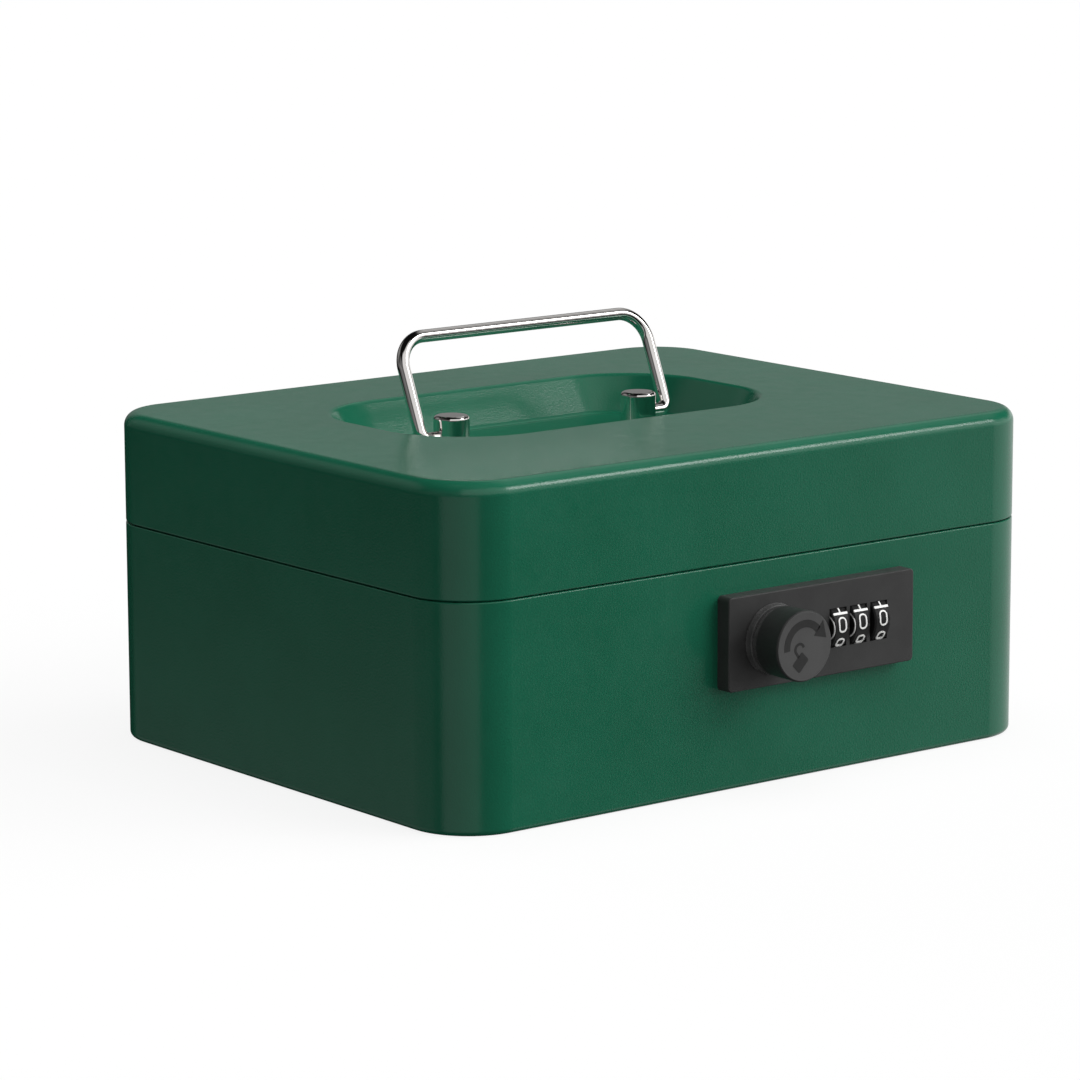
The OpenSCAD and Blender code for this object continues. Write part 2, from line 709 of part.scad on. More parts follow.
// A point turned by angle a about the origin
function turned(p, a) = [p.x * cos(a) - p.y * sin(a), p.x * sin(a) + p.y * cos(a)];

// The two flanks of the pinion tooth whose middle is at angle a, and the whole tooth
function flank(a) = [for (k = [0:flank_steps])
    turned(involute(roll_top * k / flank_steps), a - flank_turn)];
function other_flank(a) = [for (k = [flank_steps:-1:0])
    let (p = involute(roll_top * k / flank_steps)) turned([p.x, -p.y], a + flank_turn)];
function tooth(a) = concat(
    [turned([pinion_root, 0], a - flank_turn)], flank(a), other_flank(a),
    [turned([pinion_root, 0], a + flank_turn)]);

module knob_spindle() color("silver") {
    rod_y(knob_x, lock_z, spindle_r, spindle_front, cam_front);
    translate([knob_x, gear_back, lock_z]) rotate([90, 0, 0]) linear_extrude(gear_w)
        polygon([for (i = [0:pinion_teeth - 1]) each tooth(90 + (i + 0.5) * 360 / pinion_teeth)]);
    translate([knob_x - square_side / 2, cam_front - over, lock_z - square_side / 2])
        cube([square_side, cam_t + over, square_side]);
    rod_y(knob_x, lock_z, thread_r, cam_back - over, spindle_back);
}

module lock_cam() color("silver") difference() {
    union() {
        rod_y(knob_x, lock_z, cam_hub_r, cam_front, cam_back);
        translate([knob_x - cam_w / 2, cam_front, lock_z]) cube([cam_w, cam_t, cam_len]);
    }
    translate([knob_x - square_side / 2 - slip, cam_front - over, lock_z - square_side / 2 - slip])
        cube([square_side + 2 * slip, cam_t + 2 * over, square_side + 2 * slip]);
}

module cam_washer() color("silver") difference() {
    rod_y(knob_x, lock_z, cam_washer_r, cam_back, cam_back + cam_washer_t);
    rod_y(knob_x, lock_z, thread_r + slip, cam_back - over, cam_back + cam_washer_t + over);
}

module cam_nut() color("silver") difference() {
    translate([knob_x, cam_back + cam_washer_t + cam_nut_t, lock_z]) rotate([90, 0, 0])
        cylinder(r = cam_nut_r, h = cam_nut_t, $fn = 6);
    rod_y(knob_x, lock_z, thread_r + slip, cam_back - over, spindle_back + over);
}

// One tooth of the rack, pointing down at the pinion
module rack_tooth(x) {
    half = tooth_pitch / 4 - backlash / 2;
    slope = tan(pressure_angle);
    polygon([[x - half - slope * dedendum, dedendum], [x - half + slope * addendum, -addendum],
        [x + half - slope * addendum, -addendum], [x + half + slope * dedendum, dedendum]]);
}

module code_bar() color("silver") {
    rod_x(wheel_y, lock_z, rod_r, arm_x, rod_end);
    for (x = wheel_x) translate([x + travel / 2 - tooth_len / 2, wheel_y, lock_z - tooth_w / 2])
        cube([tooth_len, tooth_reach, tooth_w]);
    translate([arm_x, 0, 0]) rotate([90, 0, 90]) linear_extrude(arm_t) polygon([
        [wheel_y - rod_r, lock_z - rod_r], [wheel_y + rod_r, lock_z - rod_r],
        [wheel_y + rod_r + arm_relief, bar_root], [gear_back, bar_root], [gear_back, bar_top],
        [wheel_y - rod_r, bar_top]]);
    translate([0, gear_back, 0]) rotate([90, 0, 0]) linear_extrude(gear_w) {
        translate([knob_x - tooth_pitch, bar_root])
            square([arm_x + arm_t - knob_x + tooth_pitch, bar_t]);
        translate([knob_x, lock_z + pitch_r])
            for (i = [0:rack_teeth - 1]) rack_tooth(i * tooth_pitch);
    }
}

module coin_tray() color("#222222") difference() {
    union() {
        translate([0, (tray_front + tray_back) / 2, tray_z]) {
            sweep(2 * (tray_half - tray_r), tray_d - 2 * tray_r) polygon([
                [0, 0], [tray_r, 0], [tray_r, tray_h], [tray_r - tray_wall, tray_h],
                [tray_r - tray_wall, tray_wall], [0, tray_wall]]);
            plate(2 * (tray_half - tray_r), tray_d - 2 * tray_r, 0, tray_wall);
        }
        translate([-tray_half + tray_wall / 2, divider_y, tray_z + tray_wall / 2])
            cube([2 * tray_half - tray_wall, divider_t, tray_h - divider_drop - tray_wall / 2]);
        for (i = [1:front_cells - 1])
            translate([-inner_w / 2 + i * cell_w + (i - 1) * divider_t,
                    tray_front + tray_wall / 2, tray_z + tray_wall / 2])
                cube([divider_t, front_row + tray_wall / 2 + divider_t / 2,
                    tray_h - divider_drop - tray_wall / 2]);
    }
    rod_x((divider_y + tray_back) / 2, tray_z + tray_h + grip_r / 2, grip_r, -box_w, box_w);
}

base_shell();
base_rim();
tray_ledges();
hinge_base_leaf(-hinge_x);  // hinge_base_leaf_left
hinge_base_leaf(hinge_x);  // hinge_base_leaf_right
hinge_pin(-hinge_x);  // hinge_pin_left
hinge_pin(hinge_x);  // hinge_pin_right
lock_plate();
knob_collar();
lock_housing();
lock_screws();
detent_spring();
lid_shell();
hinge_lid_leaf(-hinge_x);  // hinge_lid_leaf_left
hinge_lid_leaf(hinge_x);  // hinge_lid_leaf_right
lid_strike();
handle_post(-1);  // handle_post_left
handle_post(1);  // handle_post_right
post_washers();
post_nuts();
handle_bail();
number_wheel(wheel_x[0]);  // number_wheel_1
number_wheel(wheel_x[1]);  // number_wheel_2
number_wheel(wheel_x[2]);  // number_wheel_3
knob();
knob_spindle();
lock_cam();
cam_washer();
cam_nut();
code_bar();
coin_tray();
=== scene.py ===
import itertools
import math

import bpy
from mathutils import Matrix, Vector


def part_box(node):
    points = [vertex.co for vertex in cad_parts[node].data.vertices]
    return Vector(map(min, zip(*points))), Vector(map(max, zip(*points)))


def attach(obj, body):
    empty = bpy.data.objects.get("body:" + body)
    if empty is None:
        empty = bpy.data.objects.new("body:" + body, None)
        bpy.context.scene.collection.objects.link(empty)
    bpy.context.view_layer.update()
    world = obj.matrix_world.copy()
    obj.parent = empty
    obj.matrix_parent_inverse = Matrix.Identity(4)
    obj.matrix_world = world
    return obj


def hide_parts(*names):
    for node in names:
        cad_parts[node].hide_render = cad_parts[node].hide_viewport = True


# A small steel cash box in glossy green enamel: the looks of its shells, handle,
# combination lock and coin tray, and the studio that it stands in.
# Lengths are millimetres until mm() turns them into Blender's metres.
# X runs right along the front, Y runs to the back, Z runs up.

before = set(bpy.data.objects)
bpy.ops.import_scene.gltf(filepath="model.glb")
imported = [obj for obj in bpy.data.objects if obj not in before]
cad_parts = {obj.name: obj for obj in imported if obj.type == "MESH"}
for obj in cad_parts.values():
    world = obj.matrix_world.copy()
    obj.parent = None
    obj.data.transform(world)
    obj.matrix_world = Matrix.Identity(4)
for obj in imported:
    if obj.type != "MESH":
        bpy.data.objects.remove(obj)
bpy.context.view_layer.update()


def mm(*values):
    """A point given in millimetres, as a vector in metres."""
    return Vector(values) / 1000


def box_mm(node):
    """Lowest and highest corner of a CAD node, in millimetres."""
    low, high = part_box(node)
    return low * 1000, high * 1000


# ---------------------------------------------------------------- sizes

# Sheet-metal body
SHEET = 1.0
CORNER_R = 18.0
TOP_EDGE_R = 3.8
BOTTOM_EDGE_R = 1.6
LIP_R = 0.42
CORNER_STEPS = 24
EDGE_STEPS = 14
LIP_STEPS = 4
SHARP_ANGLE = math.radians(32)

BASE_HIGH = box_mm("base_shell")[1]
LID_LOW, LID_HIGH = box_mm("lid_shell")
HALF_X = BASE_HIGH.x
HALF_Y = BASE_HIGH.y

# Handle well, pressed into the lid
WELL_W = 123.0
WELL_D = 72.0
WELL_Y = 9.5
WELL_R = 27.0
WELL_DEPTH = 10.3
WELL_LEAN = math.radians(33)
WELL_BEND_R = 1.8
WELL_BEND_STEPS = 10

# How far cutters reach past the front or a free edge, and into the box or out behind it
CUT_PAST = 2.0
CUT_DEEP = 3.0

# Hinge notches in the back walls, a little wider than the pins
HINGE_LOW, HINGE_HIGH = box_mm("hinge_pin_left")
HINGE_X = -(HINGE_LOW.x + HINGE_HIGH.x) / 2
HINGE_Z = (HINGE_LOW.z + HINGE_HIGH.z) / 2
NOTCH_GAP = 0.5
NOTCH_HALF_W = (HINGE_HIGH.x - HINGE_LOW.x) / 2 + NOTCH_GAP
NOTCH_HALF_H = 3.0

# Handle wire: lengths up the handle are measured from its pivot; its foot turns in to the post
PIVOT_Y, PIVOT_Z = 10.1, 84.3
HANDLE_LEAN = math.radians(23)
WIRE_R = 1.748  # a hair under the CAD wire, so the tube stays in its box
WIRE_SIDES = 64
LEG_X = 42.5
HANDLE_REACH = 28.3
BAR_BEND_R = 8.5
BAR_BEND_STEPS = 32
BAR_HALF, BAR_STEP = 30, 6
FOOT_BEND_R = 2.3
FOOT_BEND_STEPS = 16
FOOT_END_X = 31.2

# Lock opening in the front wall: a window for the wheels, and a slot for the rod that runs on
# from inside the window's right end
PLATE_LOW, PLATE_HIGH = box_mm("lock_plate")
LOCK_Z = (PLATE_LOW.z + PLATE_HIGH.z) / 2
OPENING_X = (-5.5, 41.6)
OPENING_HALF_H = 7.9
ROD_SLOT_X = (40.6, 48.5)
ROD_SLOT_HALF_H = 2.8

# Drawn strokes: the square of a joint's averaged normal below which its mitre grows no more,
# and how far flat marks reach into the piece that they lie on
SHARPEST_MITRE = 0.25
PRINT_SINK = 0.1

# Number wheels: ten digits, with the 0 turned up a little from the front, the foot of the 1,
# and a painted highlight, a thin white arc on a wheel's flank where its rim catches the light
WHEELS = ["number_wheel_1", "number_wheel_2", "number_wheel_3"]
# Only the first two wheels carry the painted rim highlight
RIM_HIGHLIGHT_WHEELS = WHEELS[:2]
WHEEL_LOW, WHEEL_HIGH = box_mm(WHEELS[0])
WHEEL_R = (WHEEL_HIGH.z - WHEEL_LOW.z) / 2
WHEEL_Y = WHEEL_LOW.y + WHEEL_R
DIGIT_PITCH = math.radians(36)
DIGIT_TURN = math.radians(7.9)
DIGIT_W = 2.7
DIGIT_H = 4.1
DIGIT_STROKE = 0.42
DIGIT_STEP = 0.3
DIGIT_ARC_STEPS = 12
DIGIT_PROUD = 0.2
DIGIT_SINK = 0.15
FOOT_STROKE = 0.62
FOOT_RISE = 0.45
# Painted rim highlight: radius, sweep in degrees, steps, stroke width and thickness of the white
# arc
RIM_HIGHLIGHT_R = 3.35
RIM_HIGHLIGHT_SWEEP = (100, 260)
RIM_HIGHLIGHT_STEPS = 32
RIM_HIGHLIGHT_STROKE = 0.34
RIM_HIGHLIGHT_T = 0.05

# Knob, the disc in its face and the collar behind it, all turned about one axis: the insets
# are measured inward from the radius, and the waist's ends forward from the collar's back
KNOB_LOW, KNOB_HIGH = box_mm("knob")
KNOB_X = (KNOB_LOW.x + KNOB_HIGH.x) / 2
KNOB_R = (KNOB_HIGH.z - KNOB_LOW.z) / 2
TURNED_STEPS = 96
SMALL_EDGE_STEPS = 6
HUB_R = 3.0
FACE_CENTRE_R = 0.5
KNOB_EDGE_R = 0.4
KNOB_EDGE_STEPS = 8
KNOB_TAPER = 0.1
DISC_T = 0.2
DISC_BACK_R = 2.0
DISC_BACK_INSET = 0.32
DISC_INSET = 0.35
DISC_EDGE_R = 0.12
COLLAR_BACK_R = 0.25
COLLAR_FRONT_R = 0.3
COLLAR_WAIST = 0.3
COLLAR_WAIST_Y = (0.75, 1.7)
COLLAR_GROOVE = 1.1

# Curved arrow and open padlock printed on the knob, about the middle of its face
PRINT_T = 0.04
ARROW_R = 5.98
ARROW_SWEEP = (187, 40)
ARROW_STEPS = 40
ARROW_STROKE = 2.0
ARROW_HEAD = [(6.2, 6.2), (3.1, 2.4), (7.4, 1.4)]
PADLOCK_CENTRE = (-1.4, -4.1)
PADLOCK_TILT = math.radians(45.5)
PADLOCK_HALF_W, PADLOCK_HALF_H = 2.3, 1.67
PADLOCK_CORNER_R = 0.45
PADLOCK_CORNER_STEPS = 5
SHACKLE_R = 1.45
SHACKLE_CENTRE = (2.25, PADLOCK_HALF_H + 1.0)
SHACKLE_SWEEP = (176, -30)
SHACKLE_STEPS = 18
SHACKLE_LEG = [(0.6, PADLOCK_HALF_H - 0.2), (0.75, PADLOCK_HALF_H + 0.8)]
SHACKLE_STROKE = 0.75

# Camera of the photograph: place in millimetres, directions in degrees
CAMERA_AT = (-764.1, -958.7, 286.0)
CAMERA_YAW, CAMERA_PITCH, CAMERA_ROLL = 38.177, 10.742, -0.189
CAMERA_LENS = 152.3
CAMERA_SENSOR = 36
CAMERA_CLIP = (0.05, 50)

# Studio: the floor's half width, the white seen by the camera, the levels that light the
# object, and what it mirrors
FLOOR_HALF = 12000.0
WHITE = 0.956
SKY = 0.16
FLOOR_LIT = 0.12
FLOOR_GLOW = 0.858
FLOOR_BOUNCE = 0.2
DIM = 0.006
# Each soft box: azimuths and elevations with the softness of their edges in degrees, and a level
SOFT_BOXES = [
    ((48, 136.6, 2), (-45, 4, 3), 0.85),
    ((60, 133, 4), (2, 11, 3), 0.95),
    ((95, 136, 4), (9, 22, 3), 0.95),
    ((12, 60, 8), (-2, 24, 5), 0.27),
    ((38, 68, 5), (26, 47, 4), 0.5),
    ((122, 150, 4), (6, 46, 6), 0.85),
    ((200, 262, 4), (-45, 0, 4), 0.5),
    ((275, 345, 10), (-45, -12.4, 1.9), 0.32),
    ((225, 290, 10), (10, 40, 8), 0.15),
    ((305, 355, 8), (18, 42, 6), 0.3),
    ((148, 228, 3), (12, 58, 5), 0.95),
    ((55, 112, 5), (40, 62, 5), 0.42),
    ((255, 355, 6), (0, 18, 3), 0.13),
]
# Each lamp: azimuth, elevation and size in degrees, strength, and whether surfaces mirror it
LAMPS = {
    "key": (134, 32, 15, 0.35, True),
    "soft_key": (130, 27, 60, 2.6, False),
    "overhead": (150, 85, 50, 1.8, False),
    "fill": (222, 10, 40, 0.25, False),
    "back": (2, 4, 40, 1.4, False),
}


# ---------------------------------------------------------------- shader nodes

def linear(*srgb):
    """An sRGB colour of 0 to 255 as linear RGBA."""
    def one(value):
        value /= 255
        return value / 12.92 if value <= 0.04045 else ((value + 0.055) / 1.055) ** 2.4
    return (*(one(value) for value in srgb), 1.0)


def feed(tree, socket, value):
    """Links a socket to another, or sets it to a plain value."""
    if isinstance(value, bpy.types.NodeSocket):
        tree.links.new(value, socket)
    else:
        socket.default_value = value


def noise(tree, vector, scale, detail):
    """A noise pattern; scale is in cycles per metre."""
    node = tree.nodes.new("ShaderNodeTexNoise")
    feed(tree, node.inputs["Scale"], scale)
    feed(tree, node.inputs["Detail"], detail)
    feed(tree, node.inputs["Vector"], vector)
    return node.outputs["Fac"]


def map_range(tree, value, low, high, from_low=0.3, from_high=0.7, kind="LINEAR"):
    """Spreads a value over low to high; a noise pattern lies mostly between 0.3 and 0.7."""
    node = tree.nodes.new("ShaderNodeMapRange")
    node.interpolation_type = kind
    feed(tree, node.inputs["From Min"], from_low)
    feed(tree, node.inputs["From Max"], from_high)
    feed(tree, node.inputs["To Min"], low)
    feed(tree, node.inputs["To Max"], high)
    feed(tree, node.inputs["Value"], value)
    return node.outputs["Result"]


def ease(tree, value, start, end):
    """0 below start and 1 above end, eased between; start may be the larger."""
    low, high = (0.0, 1.0) if start < end else (1.0, 0.0)
    return map_range(tree, value, low, high, min(start, end), max(start, end), "SMOOTHSTEP")


def mix(tree, factor, first, second, kind="FLOAT"):
    """first where factor is 0 and second where it is 1."""
    node = tree.nodes.new("ShaderNodeMix")
    node.data_type = kind
    feed(tree, node.inputs["A"], first)
    feed(tree, node.inputs["B"], second)
    feed(tree, node.inputs["Factor"], factor)
    return node.outputs["Result"]


def math_node(tree, operation, *values):
    """A maths node on sockets or plain numbers."""
    node = tree.nodes.new("ShaderNodeMath")
    node.operation = operation
    for socket, value in zip(node.inputs, values):
        feed(tree, socket, value)
    return node.outputs[0]


def bump(tree, height, distance, under=None):
    """A bump of the given depth in metres, over another bump."""
    node = tree.nodes.new("ShaderNodeBump")
    feed(tree, node.inputs["Strength"], 1.0)
    feed(tree, node.inputs["Distance"], distance)
    feed(tree, node.inputs["Height"], height)
    if under is not None:
        feed(tree, node.inputs["Normal"], under)
    return node.outputs["Normal"]


def object_coords(tree, stretch=(1, 1, 1)):
    """The piece's own coordinates, stretched, so that a pattern rides with it."""
    coords = tree.nodes.new("ShaderNodeTexCoord")
    mapping = tree.nodes.new("ShaderNodeMapping")
    feed(tree, mapping.inputs["Scale"], stretch)
    feed(tree, mapping.inputs["Vector"], coords.outputs["Object"])
    return mapping.outputs["Vector"]


# ---------------------------------------------------------------- materials

def empty_material(name):
    """A material, its emptied node tree and its output's surface socket."""
    mat = bpy.data.materials.new(name)
    mat.use_nodes = True
    tree = mat.node_tree
    tree.nodes.clear()
    return mat, tree, tree.nodes.new("ShaderNodeOutputMaterial").inputs["Surface"]


def new_material(name):
    """A material with its node tree, its Principled shader and the piece's coordinates."""
    mat, tree, output = empty_material(name)
    shader = tree.nodes.new("ShaderNodeBsdfPrincipled")
    feed(tree, output, shader.outputs["BSDF"])
    return mat, tree, shader, object_coords(tree)


def mottle(tree, shader, pattern, dark, light):
    """Gives the shader a colour that drifts between two sRGB tones with a pattern."""
    tone = mix(tree, map_range(tree, pattern, 0, 1), linear(*dark), linear(*light), "RGBA")
    feed(tree, shader.inputs["Base Color"], tone)


def enamel():
    """Stoved gloss enamel with fine orange peel over a slower ripple."""
    mat, tree, shader, vector = new_material("green_enamel")
    mottle(tree, shader, noise(tree, vector, 35, 3), (23, 92, 68), (27, 97, 73))
    gloss = noise(tree, vector, 240, 3)
    feed(tree, shader.inputs["Roughness"], map_range(tree, gloss, 0.15, 0.21))
    ripple = bump(tree, noise(tree, vector, 320, 1), 0.000006)
    peel = bump(tree, noise(tree, vector, 1900, 2), 0.000035, under=ripple)
    feed(tree, shader.inputs["Normal"], peel)
    feed(tree, shader.inputs["IOR"], 1.5)
    return mat


def chrome():
    """Polished chrome plate with faint polishing marks."""
    mat, tree, shader, vector = new_material("bright_chrome")
    smudge = noise(tree, vector, 90, 4)
    mottle(tree, shader, smudge, (240, 237, 234), (232, 229, 226))
    feed(tree, shader.inputs["Roughness"], map_range(tree, smudge, 0.03, 0.07))
    marks = noise(tree, object_coords(tree, (1, 9, 9)), 260, 2)
    feed(tree, shader.inputs["Normal"], bump(tree, marks, 0.0000003))
    feed(tree, shader.inputs["Metallic"], 1.0)
    return mat


def zinc():
    """Bright zinc plate: cloudy bluish grey with fine drawn lines."""
    mat, tree, shader, vector = new_material("zinc_steel")
    cloud = noise(tree, vector, 300, 4)
    mottle(tree, shader, cloud, (168, 170, 172), (200, 202, 200))
    feed(tree, shader.inputs["Roughness"], map_range(tree, cloud, 0.26, 0.42))
    lines = noise(tree, object_coords(tree, (1, 1, 12)), 700, 2)
    feed(tree, shader.inputs["Normal"], bump(tree, lines, 0.00001))
    feed(tree, shader.inputs["Metallic"], 1.0)
    return mat


def digit_paint():
    """Matt white paint of the raised digits, slightly uneven."""
    mat, tree, shader, vector = new_material("digit_paint")
    mottle(tree, shader, noise(tree, vector, 900, 2), (232, 232, 230), (246, 246, 244))
    gloss = noise(tree, vector, 1400, 2)
    feed(tree, shader.inputs["Roughness"], map_range(tree, gloss, 0.45, 0.6))
    feed(tree, shader.inputs["Normal"], bump(tree, noise(tree, vector, 3000, 2), 0.00001))
    return mat


def plastic(name, dark, light, roughness, grain, depth):
    """Moulded plastic: a mottled tone, uneven gloss and a grained surface."""
    mat, tree, shader, vector = new_material(name)
    mottle(tree, shader, noise(tree, vector, 120, 3), dark, light)
    gloss = noise(tree, vector, 600, 2)
    feed(tree, shader.inputs["Roughness"], map_range(tree, gloss, *roughness))
    feed(tree, shader.inputs["Normal"], bump(tree, noise(tree, vector, grain, 2), depth))
    feed(tree, shader.inputs["Specular IOR Level"], 0.35)
    return mat


# Each plastic: darkest and lightest sRGB tone, roughness, grains per metre and their depth
PLASTICS = {
    "black_lock_plastic": ((50, 50, 50), (56, 56, 56), (0.42, 0.52), 2600, 0.000012),
    "knob_plastic": ((68, 68, 68), (74, 74, 74), (0.42, 0.52), 2600, 0.000012),
    "knob_barrel_plastic": ((40, 40, 40), (46, 46, 46), (0.45, 0.55), 2600, 0.00001),
    "collar_plastic": ((54, 54, 54), (84, 84, 84), (0.2, 0.34), 900, 0.00005),
    "wheel_plastic": ((16, 16, 16), (22, 22, 22), (0.42, 0.55), 1800, 0.000008),
    "housing_plastic": ((40, 40, 40), (48, 48, 48), (0.5, 0.62), 1400, 0.00002),
    "tray_plastic": ((34, 34, 35), (42, 42, 43), (0.4, 0.55), 1100, 0.00004),
    "print_ink": ((36, 36, 36), (41, 41, 41), (0.5, 0.6), 2600, 0.00001),
}
MATERIALS = {
    "green_enamel": enamel(),
    "bright_chrome": chrome(),
    "zinc_steel": zinc(),
    "digit_paint": digit_paint(),
    **{name: plastic(name, *values) for name, values in PLASTICS.items()},
}

FINISHES = {
    "green_enamel": [
        "base_shell", "base_rim", "tray_ledges", "hinge_base_leaf_left", "hinge_base_leaf_right",
        "lid_shell", "hinge_lid_leaf_left", "hinge_lid_leaf_right"],
    "bright_chrome": ["handle_bail", "handle_post_left", "handle_post_right"],
    "black_lock_plastic": ["lock_plate"],
    "collar_plastic": ["knob_collar"],
    "knob_plastic": ["knob"],
    "wheel_plastic": WHEELS,
    "housing_plastic": ["lock_housing"],
    "tray_plastic": ["coin_tray"],
    "zinc_steel": [
        "hinge_pin_left", "hinge_pin_right", "lock_screws", "detent_spring", "lid_strike",
        "post_washers", "post_nuts", "knob_spindle", "lock_cam", "cam_washer", "cam_nut",
        "code_bar"],
}


def finish_nodes():
    """Gives every CAD node its material."""
    for name, nodes in FINISHES.items():
        for node in nodes:
            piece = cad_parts[node]
            piece.data.materials.clear()
            piece.data.materials.append(MATERIALS[name])


# ---------------------------------------------------------------- mesh helpers

def add_object(name, data):
    """An object in the scene's own collection."""
    piece = bpy.data.objects.new(name, data)
    bpy.context.scene.collection.objects.link(piece)
    return piece


def add_mesh(name, points, faces):
    """An object with a mesh whose points are given in millimetres."""
    mesh = bpy.data.meshes.new(name)
    mesh.from_pydata([mm(*p) for p in points], [], faces)
    return add_object(name, mesh)


def add_piece(name, points, faces, material, body, slot=None):
    """A mesh piece that rides on a CAD body."""
    piece = add_mesh(name, points, faces)
    piece.data.materials.append(MATERIALS[material])
    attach(piece, body)
    slot or material
    return piece


def smooth(piece):
    """Smooth shading, sharp edges kept, with flats kept flat by weighted normals."""
    mesh = piece.data
    mesh.polygons.foreach_set("use_smooth", [True] * len(mesh.polygons))
    mesh.set_sharp_from_angle(angle=SHARP_ANGLE)
    weighted = piece.modifiers.new("flat_faces_stay_flat", "WEIGHTED_NORMAL")
    weighted.keep_sharp = True


def arc(centre, radius, start, end, steps):
    """Points on an arc from start to end, in degrees."""
    angles = [math.radians(start + (end - start) * i / steps) for i in range(steps + 1)]
    return [(centre[0] + radius * math.cos(a), centre[1] + radius * math.sin(a)) for a in angles]


def round_corners(half_x, half_y, reach, steps, centre_y=0):
    """A loop that stays reach outside a rectangle, round at its corners."""
    loop = []
    for corner, (sx, sy) in enumerate([(1, 1), (-1, 1), (-1, -1), (1, -1)]):
        loop += arc((sx * half_x, centre_y + sy * half_y), reach,
                    corner * 90, corner * 90 + 90, steps)
    return loop


def rings(half, profile, centre_y=0):
    """Level loops round a rectangle, one for each reach and height of a profile."""
    return [[(x, y, z) for x, y in round_corners(*half, reach, CORNER_STEPS, centre_y)]
            for reach, z in profile]


def loft(loops):
    """Points and faces of a closed skin through loops that all have as many points."""
    count = len(loops[0])
    points = [p for loop in loops for p in loop]
    faces = []
    for level in range(len(loops) - 1):
        a, b = level * count, (level + 1) * count
        for i in range(count):
            j = (i + 1) % count
            faces.append((a + i, a + j, b + j, b + i))
    last = (len(loops) - 1) * count
    faces.append(tuple(reversed(range(count))))
    faces.append(tuple(last + i for i in range(count)))
    return points, faces


def turned_inside_out(faces):
    """The same faces, seen from their other side."""
    return [tuple(reversed(face)) for face in faces]


def turned(profile):
    """Points and faces of a solid turned about the knob's axis; the profile is (radius, y)."""
    points, faces = [], []
    for i in range(TURNED_STEPS):
        a = 2 * math.pi * i / TURNED_STEPS
        points += [(KNOB_X + r * math.cos(a), y, LOCK_Z + r * math.sin(a)) for r, y in profile]
    n = len(profile)
    for i in range(TURNED_STEPS):
        a, b = n * i, n * ((i + 1) % TURNED_STEPS)
        faces += [(a + k, a + k + 1, b + k + 1, b + k) for k in range(n - 1)]
    faces.append(tuple(n * i for i in range(TURNED_STEPS)))
    faces.append(tuple(reversed([n * i + n - 1 for i in range(TURNED_STEPS)])))
    return points, faces


# Faces of a box whose corners run through Z first, then Y, then X
BOX_FACES = [(0, 1, 3, 2), (4, 6, 7, 5), (0, 4, 5, 1), (2, 3, 7, 6), (0, 2, 6, 4), (1, 5, 7, 3)]


def cut_boxes(piece, boxes):
    """Cuts boxes, each a lowest and a highest corner, out of a piece's own mesh."""
    for low, high in boxes:
        cutter = add_mesh("cutter", itertools.product(*zip(low, high)), BOX_FACES)
        cut = piece.modifiers.new("cut", "BOOLEAN")
        cut.operation = "DIFFERENCE"
        cut.solver = "EXACT"
        cut.object = cutter
        graph = bpy.context.evaluated_depsgraph_get()
        result = bpy.data.meshes.new_from_object(piece.evaluated_get(graph))
        piece.modifiers.clear()
        old = piece.data
        piece.data = result
        bpy.data.meshes.remove(old)
        bpy.data.objects.remove(cutter)


# ---------------------------------------------------------------- shells

def hinge_notches(low, high):
    """Boxes that open a back wall round the two hinge barrels."""
    return [((side * HINGE_X - NOTCH_HALF_W, HALF_Y - CUT_DEEP, low),
             (side * HINGE_X + NOTCH_HALF_W, HALF_Y + CUT_DEEP, high))
            for side in (-1, 1)]


def front_hole(x_range, half_h):
    """A box that opens the front wall, level with the lock's middle."""
    return ((x_range[0], -HALF_Y - CUT_PAST, LOCK_Z - half_h),
            (x_range[1], -HALF_Y + CUT_DEEP, LOCK_Z + half_h))


def base_skin():
    """The drawn base: floor, bottom edge, walls and the rounded lip at the seam."""
    half = (HALF_X - CORNER_R, HALF_Y - CORNER_R)
    top = BASE_HIGH.z
    bottom_edge = (CORNER_R - BOTTOM_EDGE_R, BOTTOM_EDGE_R)
    lip_out = (CORNER_R - LIP_R, top - LIP_R)
    lip_in = (CORNER_R - SHEET + LIP_R, top - LIP_R)
    profile = (
        arc(bottom_edge, BOTTOM_EDGE_R - SHEET, -90, 0, EDGE_STEPS // 2)
        + [(CORNER_R - SHEET, top / 2)]
        + arc(lip_in, LIP_R, 180, 90, LIP_STEPS)
        + arc(lip_out, LIP_R, 90, 0, LIP_STEPS)
        + [(CORNER_R, top / 2)]
        + arc(bottom_edge, BOTTOM_EDGE_R, 0, -90, EDGE_STEPS))
    points, faces = loft(rings(half, profile))
    skin = add_piece("base_skin", points, turned_inside_out(faces), "green_enamel", "base")
    cut_boxes(skin, hinge_notches(HINGE_Z - NOTCH_HALF_H, top + CUT_PAST) + [
        front_hole(OPENING_X, OPENING_HALF_H), front_hole(ROD_SLOT_X, ROD_SLOT_HALF_H)])
    smooth(skin)
    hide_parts("base_shell")


